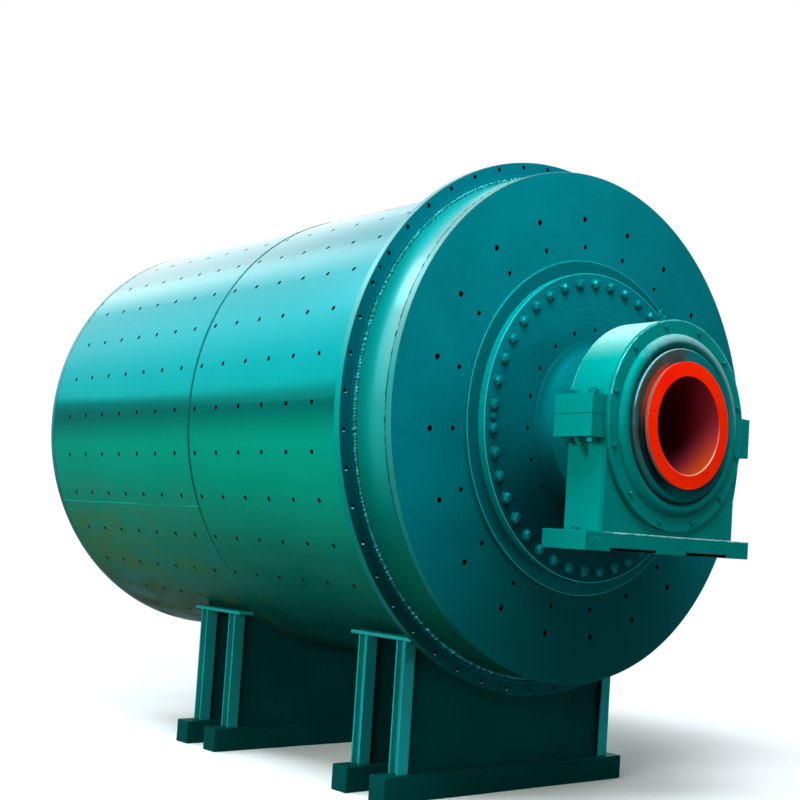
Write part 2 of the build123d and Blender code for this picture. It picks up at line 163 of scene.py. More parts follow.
# Shader sockets that Python arithmetic works on, | for the greater of two
class Wire:
    def __init__(self, finish, socket):
        self.finish = finish
        self.socket = socket

    def maths(self, operation, *others):
        return self.finish.add("ShaderNodeMath", {"operation": operation}, [self, *others])

    def __add__(self, other):
        return self.maths("ADD", other)

    __radd__ = __add__

    def __sub__(self, other):
        return self.maths("SUBTRACT", other)

    def __rsub__(self, other):
        return self.finish.add("ShaderNodeMath", {"operation": "SUBTRACT"}, [other, self])

    def __mul__(self, other):
        return self.maths("MULTIPLY", other)

    __rmul__ = __mul__

    def __neg__(self):
        return self * -1.0

    def __abs__(self):
        return self.maths("ABSOLUTE")

    def __lt__(self, other):
        return self.maths("LESS_THAN", other)

    def __gt__(self, other):
        return self.maths("GREATER_THAN", other)

    def __or__(self, other):
        return self.maths("MAXIMUM", other)

    def cosine(self):
        return self.maths("COSINE")

    # 0 below low, 1 above high, smooth between them
    def step(self, low, high):
        feeds = {"Value": self, "From Min": low, "From Max": high}
        return self.finish.add("ShaderNodeMapRange", {"interpolation_type": "SMOOTHSTEP"}, feeds)


# A tone as a shader's socket takes it
def opaque(tone):
    return tone if isinstance(tone, Wire) else (*tone, 1.0)


# A material whose tone is built up in layers of paint
class Finish:
    def __init__(self, name):
        self.material = bpy.data.materials.new(name)
        self.material.use_nodes = True
        self.tree = self.material.node_tree
        self.shader = self.tree.nodes["Principled BSDF"]
        self.place = self.add("ShaderNodeTexCoord", {}, {}, output="Object")
        self.tone = None

    def add(self, kind, settings, feeds, output=0):
        node = self.tree.nodes.new(kind)
        for key, value in settings.items():
            setattr(node, key, value)
        pairs = feeds.items() if isinstance(feeds, dict) else enumerate(feeds)
        for key, value in pairs:
            if isinstance(value, Wire):
                self.tree.links.new(value.socket, node.inputs[key])
            else:
                node.inputs[key].default_value = value
        return Wire(self, node.outputs[output])

    def feed(self, **values):
        for name, value in values.items():
            socket = self.shader.inputs[name.replace("_", " ")]
            if isinstance(value, Wire):
                self.tree.links.new(value.socket, socket)
            else:
                socket.default_value = value

    def parts(self):
        first = self.add("ShaderNodeSeparateXYZ", {}, {"Vector": self.place})
        return [Wire(self, socket) for socket in first.socket.node.outputs]

    # Place along the mill axis, distance from it, and angle round it from +Y towards +Z
    def polar(self):
        x, y, z = self.parts()
        rise = z - AXIS_Z
        radius = (y * y + rise * rise).maths("SQRT")
        return x, radius, rise.maths("ARCTAN2", y)

    def noise(self, scale, detail=3.0, rough=0.5, stretch=None):
        vector = self.place
        if stretch:
            vector = self.add("ShaderNodeMapping", {}, {"Vector": vector, "Scale": stretch})
        feeds = {"Vector": vector, "Scale": scale, "Detail": detail, "Roughness": rough}
        return self.add("ShaderNodeTexNoise", {}, feeds)

    # Noise along one length, for turning marks
    def lines(self, length, scale):
        feeds = {"W": length, "Scale": scale, "Detail": 2.0}
        return self.add("ShaderNodeTexNoise", {"noise_dimensions": "1D"}, feeds)

    def bump(self, height, distance, strength, normal=None):
        feeds = {"Height": height, "Distance": distance, "Strength": strength}
        if normal:
            feeds["Normal"] = normal
        return self.add("ShaderNodeBump", {}, feeds)

    def mix(self, factor, first, second):
        feeds = {0: factor, 6: opaque(first), 7: opaque(second)}
        return self.add("ShaderNodeMix", {"data_type": "RGBA"}, feeds, output=2)

    # Lays a tone over the ones before it, as far as the mask goes
    def paint(self, mask, tone):
        self.tone = self.mix(mask, self.tone, tone)

    def done(self, **values):
        self.feed(Base_Color=self.tone, **values)
        return self.material


# 1 on the side of the mill that looks out at an angle in degrees, 0 away from it
def towards(angle, degrees, low, high):
    return (angle - math.radians(degrees)).cosine().step(low, high)


# 1 low on the left side of the mill, 0 from its middle up
def lower_side(angle):
    return towards(angle, 240, 0.55, 1.0)


# Gloss machine enamel with a metallic tint, a little uneven in tone and gloss
def enamel(name, base, rough=0.22, sheen=0.30, streak=(1.2, 1.2, 1.2)):
    finish = Finish(name)
    patches = finish.noise(1.3, detail=4.0, rough=0.55)
    streaks = finish.noise(7.0, detail=5.0, rough=0.65, stretch=streak)
    peel = finish.noise(130.0, detail=2.0, rough=0.6)
    red, green, blue = base
    deep = (red, green * 0.86, blue * 0.84)
    light = (red, green * 1.08, blue * 1.08)
    faded = (red + 0.004, green * 1.20, blue * 1.24)
    finish.tone = finish.mix(patches.step(0.30, 0.70), deep, light)
    finish.paint(streaks.step(0.45, 0.95) * 0.15, faded)
    waves = finish.bump(patches, 0.0015, strength=0.3)
    finish.feed(
        Roughness=rough + 0.08 * (streaks - 0.5) + 0.05 * (patches - 0.5),
        Metallic=sheen,
        Specular_Tint=opaque((0.0, 0.95, 1.0)),
        IOR=1.05,
        Coat_Roughness=0.20,
        Normal=finish.bump(peel, 0.0003, strength=0.30, normal=waves),
    )
    return finish


# The thin uneven line where the head plate meets the shell
def head_joint(finish, x):
    wander = finish.noise(17.0)
    line = abs(abs(x) - SHELL_END_X + (wander - 0.5) * 0.014) < 0.0024
    finish.paint(line * wander.step(0.30, 0.55) * 0.70, (0.0, 0.045, 0.050))


# Near-black painted shade inside the drum and in the holes, browner in rusty patches
def painted_inside_shade(finish):
    rust = finish.noise(14.0).step(0.35, 0.70)
    return finish.mix(rust, (0.008, 0.013, 0.014), (0.030, 0.018, 0.011))


# The drum's paint behind the gear flange, with painted sky light and reflections: painted light
# makes it bluest above, with pale painted sheen in patches, painted shade deepens it at the very
# top, on its shoulder and at the far top, and a dark painted reflection strip lies at mid height
# with a green painted ground reflection band below it
def barrel_light_tones(finish, x, angle, top, sheen_patches):
    above = (angle - math.radians(120)).cosine()
    shoulder_shade = towards(angle, 143, 0.955, 1.0)
    far_top_shade = above.step(0.45, 0.90) * (-x).step(0.2, 2.0)
    barrel = x < GEAR_FACE_X
    horizon_reflection = towards(angle, 181.5, 0.9925, 0.9990)
    ground_reflection = towards(angle, 198, 0.950, 0.985)
    finish.paint(above.step(0.25, 0.85), (0.0, 0.180, 0.205))
    finish.paint(top * 0.85, (0.0, 0.135, 0.160))
    finish.paint(shoulder_shade * 0.5, (0.0, 0.100, 0.112))
    finish.paint(sheen_patches * above.step(0.60, 0.90) * 0.35, (0.0, 0.190, 0.215))
    finish.paint(far_top_shade * 0.4, (0.0, 0.100, 0.118))
    finish.paint(barrel * horizon_reflection * 0.75, (0.0, 0.072, 0.056))
    finish.paint(barrel * ground_reflection * 0.70, (0.0, 0.255, 0.165))


# The skirt's paint, with painted light: lighter as a painted highlight, painted shade low down and
# beside the gear flange, and a pale painted highlight along its crest and brow
def skirt_light_tones(finish, x, angle, skirt):
    flange_shade = 1.0 - x.step(GEAR_FACE_X + 0.02, GEAR_FACE_X + 0.15)
    outer = x.step(GEAR_FACE_X + 0.12, GEAR_FACE_X + 0.25)
    crest_highlight = towards(angle, 140, 0.80, 0.97)
    brow_highlight = towards(angle, 112, 0.93, 0.99)
    finish.paint(skirt * 0.6, (0.0, 0.235, 0.225))
    finish.paint(skirt * lower_side(angle) * 0.7, (0.0, 0.050, 0.042))
    finish.paint(skirt * flange_shade * 0.65, (0.0, 0.115, 0.096))
    finish.paint(outer * crest_highlight * 0.70, (0.085, 0.170, 0.165))
    finish.paint(outer * brow_highlight * 0.80, (0.130, 0.330, 0.320))


# Painted shade low on the drum, darkest at its bottom, with mottled olive patches on the far strake
def low_shade_and_mottle(finish, x, angle, low, mottle):
    under = towards(angle, -105, 0.78, 1.0)
    far = (-x).step(-0.6, 1.4)
    dull = finish.mix(far, (0.0, 0.066, 0.044), (0.0, 0.110, 0.074))
    olive = finish.mix(under, (0.052, 0.125, 0.046), (0.052, 0.056, 0.016))
    finish.paint(low * 0.80, dull)
    finish.paint(under * 0.75, (0.0, 0.026, 0.022))
    finish.paint(low * mottle * far * 0.85, olive)


# Clear gloss on the drum's top, less of it above mid height, and some on the skirt
def shell_gloss(angle, skirt):
    glare = towards(angle, 105, 0.66, 0.92) * towards(angle, 150, 0.40, 0.60)
    upper = towards(angle, 145, 0.90, 1.0) * 0.16
    rim = towards(angle, 150, 0.60, 1.0) * skirt * 0.55
    return glare | upper | rim


# Drum paint, with sky light, reflections, highlights and shade painted into its tones, a clear coat
# on top, and painted shade inside
def shell_enamel():
    base = (0.0, 0.175, 0.145)
    finish = enamel("shell_enamel", base, rough=0.17, sheen=0.34, streak=(0.3, 1.6, 1.6))
    x, radius, angle = finish.polar()
    skirt = x > GEAR_FACE_X
    top = towards(angle, 105, 0.62, 0.98)
    low = towards(angle, -125, 0.72, 0.98)
    sheen_patches = finish.noise(2.4, detail=4.0, rough=0.6, stretch=(0.35, 1.4, 1.4)).step(0.48, 0.72)
    mottle = finish.noise(3.0, detail=5.0, rough=0.6, stretch=(0.7, 1.5, 1.5)).step(0.34, 0.68)
    barrel_light_tones(finish, x, angle, top, sheen_patches)
    skirt_light_tones(finish, x, angle, skirt)
    head_joint(finish, x)
    low_shade_and_mottle(finish, x, angle, low, mottle)
    # Painted shade on the drum's inside
    finish.paint(radius < DRUM_R - 0.002, painted_inside_shade(finish))
    return finish.done(
        Roughness=0.15 + 0.04 * sheen_patches + low * (0.20 + 0.26 * mottle),
        Metallic=(0.34 - 0.28 * top - 0.26 * low) * (1.0 - 0.55 * skirt),
        Coat_Weight=shell_gloss(angle, skirt) * (radius > DRUM_R - 0.002),
        Coat_Roughness=0.26,
    )


# Gear flange's bolt holes: painted shade in them, and a painted glint low in the holes on one side
def gear_hole_shade_and_glint(finish, radius, angle):
    pitch = math.radians(360.0 / GEAR_BOLTS)
    turns = (angle - math.radians(ROTOR_PHASE)) * (1.0 / pitch)
    along = ((turns + 0.5).maths("FRACT") - 0.5) * (pitch * GEAR_BOLT_CIRCLE)
    drop = (radius - GEAR_BOLT_CIRCLE) * angle.maths("SINE") + along * angle.cosine()
    hole_glint = towards(angle, 215, 0.40, 0.60) * (drop < -0.0070)
    return finish.mix(hole_glint, (0.0, 0.014, 0.017), (0.36, 0.80, 0.90))


# Gear flange paint, with painted light: lighter above and painted shade low on one side, a rim
# painted as a highlight that is pale above and shaded low, painted shade and glints in the holes,
# and a scribed line
def gear_enamel():
    finish = enamel("gear_flange_enamel", (0.0, 0.068, 0.086), rough=0.30, sheen=0.25)
    x, radius, angle = finish.polar()
    low = lower_side(angle)
    scribed = abs(radius - GEAR_SCRIBE_R) < 0.0012
    walls = (x > GEAR_BACK_X + 0.001) * (x < GEAR_FACE_X - 0.001)
    holes = walls * (abs(radius - GEAR_BOLT_CIRCLE) < 0.019)
    rim = finish.mix(low, (0.0, 0.205, 0.190), (0.0, 0.075, 0.066))
    rim = finish.mix(towards(angle, 130, 0.70, 0.97), rim, (0.120, 0.205, 0.210))
    # Painted light above, painted shade low on one side
    finish.paint(towards(angle, 100, 0.20, 0.95) * 0.6, (0.0, 0.125, 0.160))
    finish.paint(low * 0.7, (0.0, 0.042, 0.046))
    finish.paint(radius > GEAR_R - 0.0035, rim)
    finish.paint(scribed * 0.7, (0.0, 0.220, 0.250))
    finish.paint(holes, gear_hole_shade_and_glint(finish, radius, angle))
    return finish.done()


# Head paint, with turning marks, painted shade on the boss with a painted highlight on its edge,
# painted shade low on the head, a rim with a pale painted highlight above and painted shade low,
# red primer low on the far rim, and painted shade inside
def head_enamel():
    finish = enamel("head_enamel", (0.0, 0.134, 0.158), rough=0.30, sheen=0.25)
    x, radius, angle = finish.polar()
    side = abs(x)
    turned = finish.lines(radius, 46.0).step(0.35, 0.75)
    low = towards(angle, -95, 0.35, 1.0) * (radius > BOSS_R)
    rim = finish.mix(lower_side(angle), (0.020, 0.190, 0.185), (0.0, 0.085, 0.078))
    rim = finish.mix(towards(angle, 135, 0.75, 0.97), rim, (0.105, 0.195, 0.190))
    primer = (-x > HEAD_X - 0.016) * (radius > DRUM_R - 0.006) * lower_side(angle)
    boss_edge_highlight = (abs(radius - BOSS_R + 0.0015) < 0.003) * (side > BOSS_FACE_X - 0.004)
    hidden = (side < HEAD_X - 0.0015) * (radius < DRUM_R - 0.010)
    finish.paint(turned * 0.12, (0.0, 0.168, 0.197))
    # Painted shade on the boss, and painted shade low on the head
    finish.paint((radius < BOSS_R) * 0.75, (0.0, 0.072, 0.082))
    finish.paint(low * 0.82, (0.0, 0.040, 0.039))
    finish.paint(radius > DRUM_R - 0.004, rim)
    finish.paint(primer * 0.85, (0.120, 0.022, 0.014))
    head_joint(finish, x)
    finish.paint(boss_edge_highlight * 0.7, (0.0, 0.420, 0.440))
    # Painted shade on the head's inner face
    finish.paint(hidden, painted_inside_shade(finish))
    return finish.done()


# The journal's end: red that strayed from the liner, a painted shadow in the recess beside the
# liner, and a pale worn edge painted brighter above as a highlight
def journal_end_tones(finish, radius, angle, ends, cloud):
    stray = (angle - math.radians(150)).cosine() + (cloud - 0.5) * 1.6
    close = (radius < LINER_FLANGE_R + 0.022) * towards(angle, 156, 0.70, 0.97)
    recess_shadow = towards(angle, 213, 0.60, 0.95) * (radius < LINER_FLANGE_R + 0.045)
    pale_highlight = (radius > JOURNAL_R - 0.0030) * (0.35 + cloud) * towards(angle, 92, -0.10, 0.45)
    finish.paint(ends * stray.step(0.20, 0.90) * 0.85, (0.052, 0.028, 0.017))
    finish.paint(ends * close * 0.8, (0.420, 0.030, 0.004))
    finish.paint(ends * recess_shadow * 0.9, (0.002, 0.008, 0.010))
    finish.paint((ends * pale_highlight).step(0.2, 0.9), (0.180, 0.380, 0.380))


# Trunnion paint, with turning marks, a darker, duller neck, painted shade low on its flange, a
# painted highlight on its flange's rim and corner with the rim shaded low down, and painted shade
# in its holes and bore
def trunnion_enamel():
    finish = enamel("trunnion_enamel", (0.0, 0.124, 0.142), rough=0.28)
    x, radius, angle = finish.polar()
    side = abs(x)
    turned = finish.lines(radius + side, 62.0)
    cloud = finish.noise(7.0, detail=4.0, rough=0.6)
    neck = (radius < HUB_R + 0.004) * (side < JOURNAL_END_X - 0.1)
    ends = side > JOURNAL_END_X - 0.012
    low = towards(angle, -105, 0.20, 0.92) * (radius > JOURNAL_R + 0.02)
    rim = (radius > FLANGE_R - 0.003) * (side < FLANGE_FACE_X)
    rim_light_and_shade = finish.mix(lower_side(angle), (0.0, 0.240, 0.240), (0.0, 0.150, 0.158))
    corner_highlight = (abs(radius - FLANGE_R + 0.002) < 0.003) * (abs(side - FLANGE_FACE_X) < 0.004)
    holes = (side < FLANGE_FACE_X - 0.0015) * (abs(radius - SMALL_HOLE_CIRCLE) < 0.023)
    bore = (radius < TRUNNION_BORE_R + 0.002) * (side < JOURNAL_END_X - 0.004)
    finish.paint(turned.step(0.40, 0.75) * 0.25, (0.0, 0.165, 0.185))
    finish.paint(neck * 0.75, (0.0, 0.082, 0.092))
    # Painted shade low on the flange, where the pedestal shades it
    finish.paint(low * 0.85, (0.0, 0.028, 0.035))
    finish.paint(rim * 0.85, rim_light_and_shade)
    finish.paint(corner_highlight * 0.8, (0.010, 0.400, 0.410))
    journal_end_tones(finish, radius, angle, ends, cloud)
    finish.paint(holes | bore, painted_inside_shade(finish))
    dull = neck | ends
    dents = finish.bump(cloud, 0.001, strength=0.15)
    return finish.done(
        Metallic=0.30 - 0.24 * dull,
        Roughness=0.30 + 0.12 * dull,
        Normal=finish.bump(turned, 0.0012, strength=0.30, normal=dents),
    )


# Housing paint, painted lighter on lugs and flanks where light falls, a pale painted highlight on
# the crown, painted highlights along the front and rear edges, and a dark line at the split between
# cap and pedestal
def housing_enamel():
    finish = enamel("housing_enamel", (0.0, 0.175, 0.160), rough=0.28)
    x, y, z = finish.parts()
    radius = finish.polar()[1]
    side = abs(x)
    wander = finish.noise(30.0)
    lug_side = (side < CAP_FRONT_X - 0.003) * (z > AXIS_Z - PEDESTAL_LUG_H)
    lit_flank = lug_side | (side < CAP_FRONT_X - 0.024)
    rear = abs(side - CAP_REAR_X - 0.001) < 0.0035
    front = abs(side - RETAINER_FACE_X + 0.001) < 0.0020
    arch = (radius > HOUSING_R - 0.006) * (z > AXIS_Z + CAP_LUG_H + 0.004)
    crown = z.step(AXIS_Z + 0.30, AXIS_Z + 0.52) * (radius > HOUSING_R - 0.014)
    crown = crown * (side < CAP_FRONT_X)
    split = (abs(z - AXIS_Z) < 0.0020) * (abs(y) > HOUSING_R + 0.003)
    finish.paint(lit_flank * 0.7, (0.0, 0.245, 0.220))
    # Painted highlights along the front and rear edges of the arch
    finish.paint((rear | front) * arch * wander.step(0.25, 0.60) * 0.6, (0.120, 0.520, 0.500))
    # Pale painted highlight on the crown
    finish.paint(crown * 0.85, (0.240, 0.440, 0.415))
    finish.paint(split * 0.8, (0.0, 0.035, 0.035))
    return finish.done(Metallic=0.30 - 0.26 * crown)


# Base plate paint, with a painted highlight along its top front edge, rust at one end, painted
# shade with red lead in the reliefs and a faint half ring on its face under the screw
def base_enamel():
    finish = enamel("base_plate_enamel", (0.0, 0.175, 0.158), rough=0.30)
    x, y, z = finish.parts()
    side = abs(x)
    wander = finish.noise(26.0, detail=4.0, rough=0.7)
    top_edge_glint = z + side - (BASE_TOP_Z + BASE_FACE_X) + 0.0065 + (wander - 0.5) * 0.022 > 0.0
    rust = (y + (wander - 0.5) * 0.02 > BASE_HALF - 0.009) * wander.step(0.42, 0.56)
    relief = (z > BASE_LOW_Z + 0.004) * (z < BASE_LOW_Z + 0.0195) * (side < BASE_FACE_X - 0.001)
    relief = relief * (abs(y) > RELIEF_INNER_Y) * (abs(y) < RELIEF_OUTER_Y)
    shade_and_red_lead = finish.mix(wander.step(0.42, 0.66), (0.004, 0.012, 0.012), (0.070, 0.010, 0.008))
    rise = z - BASE_LOW_Z - 0.032
    across = y + BASE_SCREW_Y
    ring = abs((across * across + rise * rise).maths("SQRT") - 0.040) < 0.003
    ring = ring * (rise > 0.0) * (side > BASE_FACE_X - 0.001)
    finish.paint(top_edge_glint * y.step(-0.60, -0.40) * 0.85, (0.300, 0.600, 0.590))
    finish.paint(rust * 0.7, (0.090, 0.050, 0.020))
    # Painted shade in the reliefs, red lead in patches
    finish.paint(relief, shade_and_red_lead)
    finish.paint(ring * 0.35, (0.0, 0.420, 0.400))
    return finish.done()


# Seal ring paint, with a patchy pale painted reflection where it faces up and to one side
def seal_enamel():
    finish = enamel("seal_ring_enamel", (0.0, 0.165, 0.150), rough=0.52, sheen=0.10)
    radius, angle = finish.polar()[1:]
    reflection_patches = finish.noise(30.0, detail=6.0, rough=0.7)
    up = towards(angle, 66, -0.10, 0.90)
    outer = radius.step(JOURNAL_R + 0.015, JOURNAL_R + 0.051)
    pale_highlight = (up * outer + (reflection_patches - 0.5) * 0.9).step(0.25, 0.90)
    finish.paint(pale_highlight * outer, finish.mix(up, (0.010, 0.220, 0.230), (0.125, 0.270, 0.285)))
    return finish.done()


# Dark paint on the cradle plates under the drum, painted shade there, but not on their lips
def saddle_shade_enamel():
    finish = enamel("saddle_shade_enamel", (0.0, 0.050, 0.048), rough=0.42, sheen=0.15)
    y, z = finish.parts()[1:]
    finish.paint((abs(y) > CRADLE_LIP_Y) * (z > CRADLE_LIP_Z), CRADLE_TONE)
    return finish.done()


# Weld paint, glossy, with painted glints in bright grains
def weld_enamel():
    finish = enamel("weld_enamel", (0.0, 0.110, 0.118), rough=0.22, sheen=0.36)
    weld_glints = finish.noise(60.0, detail=3.0, rough=0.7).step(0.55, 0.68)
    finish.paint(weld_glints * 0.6, (0.030, 0.400, 0.460))
    return finish.done(Coat_Weight=0.1)


# Bright red liner paint, specked on its face, with painted shade deeper in the bore, painted light
# at the lit side of its mouth with a painted highlight on its edge there, and a teal-grey rim
def liner_enamel():
    finish = Finish("liner_enamel")
    x, radius, angle = finish.polar()
    side = abs(x)
    patches = finish.noise(6.0, detail=4.0, rough=0.6)
    specks = finish.noise(85.0, detail=2.0, rough=0.7)
    depth = LINER_FACE_X - side + (patches - 0.5) * 0.06
    lit = towards(angle, -70, 0.15, 1.0)
    lit_mouth = lit * (1.0 - depth.step(0.02, 0.24))
    bore = finish.mix(lit_mouth, (0.240, 0.015, 0.026), (0.300, 0.032, 0.003))
    bore = finish.mix(depth.step(0.10, 0.40), bore, (0.210, 0.018, 0.042))
    inside = (radius < LINER_BORE_R + 0.002) * (side < LINER_FACE_X - 0.003)
    rim = (radius > LINER_FLANGE_R - 0.0015) * (side < LINER_FACE_X - 0.002)
    edge = (radius < LINER_BORE_R + 0.005) * (side > LINER_FACE_X - 0.006) * lit
    finish.tone = finish.mix(patches.step(0.3, 0.7), (1.0, 0.009, 0.0), (1.0, 0.024, 0.0))
    finish.paint(specks.step(0.68, 0.74) * 0.8, (0.16, 0.015, 0.010))
    finish.paint(inside, bore)
    finish.paint(rim * patches.step(0.30, 0.50) * 0.9, (0.030, 0.075, 0.070))
    # Painted highlight on the bore's edge at its lit side
    finish.paint(edge * patches.step(0.35, 0.6) * 0.8, (0.90, 0.420, 0.300))
    return finish.done(
        Roughness=0.36 + 0.25 * (patches - 0.5),
        Specular_Tint=opaque((1.0, 0.12, 0.02)),
        IOR=1.08,
        Normal=finish.bump(specks + patches, 0.0008, strength=0.3),
    )


SHELL = shell_enamel()
GEAR = gear_enamel()
HEAD = head_enamel()
TRUNNION = trunnion_enamel()
HOUSING = housing_enamel()
BASE = base_enamel()
SEAL = seal_enamel()
FASTENER = enamel("fastener_enamel", (0.0, 0.112, 0.126), rough=0.36, sheen=0.34).done()
CRADLE = enamel("cradle_enamel", CRADLE_TONE, rough=0.32).done()
SADDLE_SHADE = saddle_shade_enamel()
WELD = weld_enamel()
ROUND_WELD = enamel("round_weld_enamel", (0.0, 0.078, 0.078), rough=0.24, sheen=0.16).done()
LONG_WELD = enamel("long_weld_enamel", (0.0, 0.235, 0.190), rough=0.24, sheen=0.16).done()
LINER = liner_enamel()

# The finish and slot of a node, by how its name starts
NODE_FINISHES = (
    ("shell", SHELL, "shell_paint"),
    ("gear", GEAR, "shell_paint"),
    ("head", HEAD, "head_paint"),
    ("trunnion", TRUNNION, "head_paint"),
    ("liner", LINER, "liner_red"),
    ("cradle_a_posts", CRADLE, "cradle_paint"),
    ("cradle_b_posts", CRADLE, "cradle_paint"),
    ("cradle", SADDLE_SHADE, "cradle_paint"),
    ("flange_bolts", FASTENER, "fastener_paint"),
    ("ring_bolts", FASTENER, "fastener_paint"),
    ("cap_studs", FASTENER, "fastener_paint"),
    ("base_screws", FASTENER, "fastener_paint"),
    ("eyebolt", FASTENER, "fastener_paint"),
    ("base_plate", BASE, "housing_paint"),
    ("seal_ring", SEAL, "housing_paint"),
    ("", HOUSING, "housing_paint"),
)


def node_finish(node):
    for start, finish, slot in NODE_FINISHES:
        if node.startswith(start):
            return finish, slot


for node, cad in nodes.items():
    coat(cad, node_finish(node)[0])


# A copy of a CAD node with its edges rounded, shown in its place
def rounded(node, width, segments=2):
    piece = bpy.data.objects.new(node + "_rounded", nodes[node].data.copy())
    bpy.context.scene.collection.objects.link(piece)
    select_only(piece)
    bpy.ops.mesh.customdata_custom_splitnormals_clear()
    bpy.ops.object.mode_set(mode="EDIT")
    bpy.ops.mesh.select_all(action="SELECT")
    bpy.ops.mesh.remove_doubles(threshold=0.00002)
    bpy.ops.mesh.dissolve_limited(angle_limit=math.radians(0.2))
    bpy.ops.object.mode_set(mode="OBJECT")
    edge = piece.modifiers.new("edge", "BEVEL")
    edge.width = width
    edge.segments = segments
    edge.limit_method = "ANGLE"
    edge.angle_limit = math.radians(30)
    edge.use_clamp_overlap = True
    apply_modifiers(piece)
    smooth(piece, 50)
    even = piece.modifiers.new("even", "WEIGHTED_NORMAL")
    even.keep_sharp = True
    even.weight = 90
    apply_modifiers(piece)
    finish, slot = node_finish(node)
    dress(piece, finish, "rotor" if node in ROTOR else "stand")
    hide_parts(node)


for end in ("near", "far"):
    rounded("head_" + end, 0.004)
    rounded("trunnion_" + end, 0.005)
    rounded("liner_" + end, 0.0025)
    rounded("cap_" + end, 0.006, segments=3)
    rounded("pedestal_" + end, 0.006, segments=3)
    rounded("base_plate_" + end, 0.005)
    rounded("retainer_ring_" + end, 0.003)
rounded("gear_flange", 0.003)
for cradle in ("a", "b"):
    rounded("cradle_" + cradle + "_saddle", 0.002)
    rounded("cradle_" + cradle + "_posts", 0.002)
    rounded("cradle_" + cradle + "_sills", 0.006)


# Cuts each edge of a bead that is longer than a given length
def cut_long_edges(bead, length, cuts):
    points = bead.data.vertices

    def is_long(edge):
        run = points[edge.vertices[0]].co - points[edge.vertices[1]].co
        return run.length > length

    open_with(bead, "edges", is_long)
    bpy.ops.mesh.subdivide(number_cuts=cuts)
    bpy.ops.object.mode_set(mode="OBJECT")


# A weld bead round the mill axis, a ring of a given half width, flattened to a height and
# uneven along its length
def weld_ring(name, finish, x, radius, size, height, ripple, pitch, seed, cuts=3):
    bpy.ops.mesh.primitive_torus_add(
        location=(x, 0, AXIS_Z),
        rotation=(0, math.pi / 2, 0),
        major_radius=radius,
        minor_radius=size,
        major_segments=256,
        minor_segments=6,
    )
    bead = bpy.context.object
    bead.name = name
    settle(bead)
    cut_long_edges(bead, 0.030, cuts)
    for vertex in bead.data.vertices:
        point = vertex.co - MILL_AXIS
        reach = math.hypot(point.y, point.z)
        angle = math.atan2(point.z, point.y)
        wave = noise.noise(Vector((seed, angle * radius / pitch, seed)))
        slow = noise.noise(Vector((seed + 9, angle * 3.0, 0)))
        swell = 1.0 + ripple * wave + 0.4 * ripple * slow
        along = (vertex.co.x - x) * swell
        out = (reach - radius) * swell * height / size
        turn = (radius + out) / reach
        vertex.co = MILL_AXIS + Vector((x + along, point.y * turn, point.z * turn))
    smooth(bead, 60)
    dress(bead, finish, "rotor")


# A straight uneven weld bead or cut edge
def weld_line(name, start, end, size, ripple, pitch, seed):
    span = end - start
    bpy.ops.mesh.primitive_cylinder_add(
        vertices=8,
        radius=size,
        depth=span.length,
        location=(start + end) / 2,
        rotation=span.to_track_quat("Z", "Y").to_euler(),
    )
    bead = bpy.context.object
    bead.name = name
    settle(bead)
    cut_long_edges(bead, span.length * 0.9, 9)
    cut_long_edges(bead, span.length * 0.09, 30)
    heading = span.normalized()
    for vertex in bead.data.vertices:
        along = (vertex.co - start).dot(heading)
        middle = start + heading * along
        wave = noise.noise(Vector((seed, along / pitch, seed)))
        slow = noise.noise(Vector((seed + 5, along * 4.0, 0)))
        vertex.co = middle + (vertex.co - middle) * (1.0 + ripple * wave + 0.5 * ripple * slow)
    smooth(bead, 60)
    return bead


# Grinds the long weld flush where the cradle's saddle runs under it
def ground_flush(bead):
    low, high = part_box("cradle_a_saddle")
    middle, half = (low.x + high.x) / 2, (high.x - low.x) / 2 + 0.03
    for vertex in bead.data.vertices:
        clear = min(max((abs(vertex.co.x - middle) - half) / 0.10, 0.0), 1.0)
        point = vertex.co - MILL_AXIS
        reach = math.hypot(point.y, point.z)
        turn = min(1.0, (DRUM_R + 0.0001 + 0.0045 * clear) / reach)
        vertex.co = MILL_AXIS + Vector((point.x, point.y * turn, point.z * turn))


weld_ring(
    "shell_round_weld", ROUND_WELD, SEAM_X, DRUM_R - 0.001,
    size=0.013, height=0.0045, ripple=0.35, pitch=0.030, seed=1.0,
)
weld_ring(
    "gear_front_weld", WELD, GEAR_FACE_X, DRUM_R + 0.002,
    size=0.018, height=0.016, ripple=0.80, pitch=0.015, seed=2.0, cuts=7,
)
weld_ring(
    "gear_back_weld", WELD, GEAR_BACK_X, DRUM_R + 0.002,
    size=0.010, height=0.010, ripple=0.55, pitch=0.030, seed=3.0,
)
for end, side in ENDS:
    weld_ring(
        "head_rim_weld_" + end, ROUND_WELD, side * (SHELL_END_X - 0.007), DRUM_R - 0.002,
        size=0.005, height=0.003, ripple=0.9, pitch=0.035, seed=4.0 + side,
    )
long_weld = weld_line(
    "shell_long_weld",
    round_axis(-SHELL_END_X + 0.004, DRUM_R - 0.005, LONG_WELD_DEGREES),
    round_axis(SEAM_X - 0.004, DRUM_R - 0.005, LONG_WELD_DEGREES),
    size=0.0078, ripple=0.22, pitch=0.030, seed=6.0,
)
ground_flush(long_weld)
dress(long_weld, LONG_WELD, "rotor")
for end, side in ENDS:
    burr = weld_line(
        "base_plate_" + end + "_cut_edge",
        Vector((side * (BASE_FACE_X - 0.0045), -0.55, BASE_TOP_Z - 0.0042)),
        Vector((side * (BASE_FACE_X - 0.0045), BASE_HALF - 0.01, BASE_TOP_Z - 0.0042)),
        size=0.0032, ripple=0.30, pitch=0.012, seed=7.0 + side,
    )
    dress(burr, BASE, "stand")


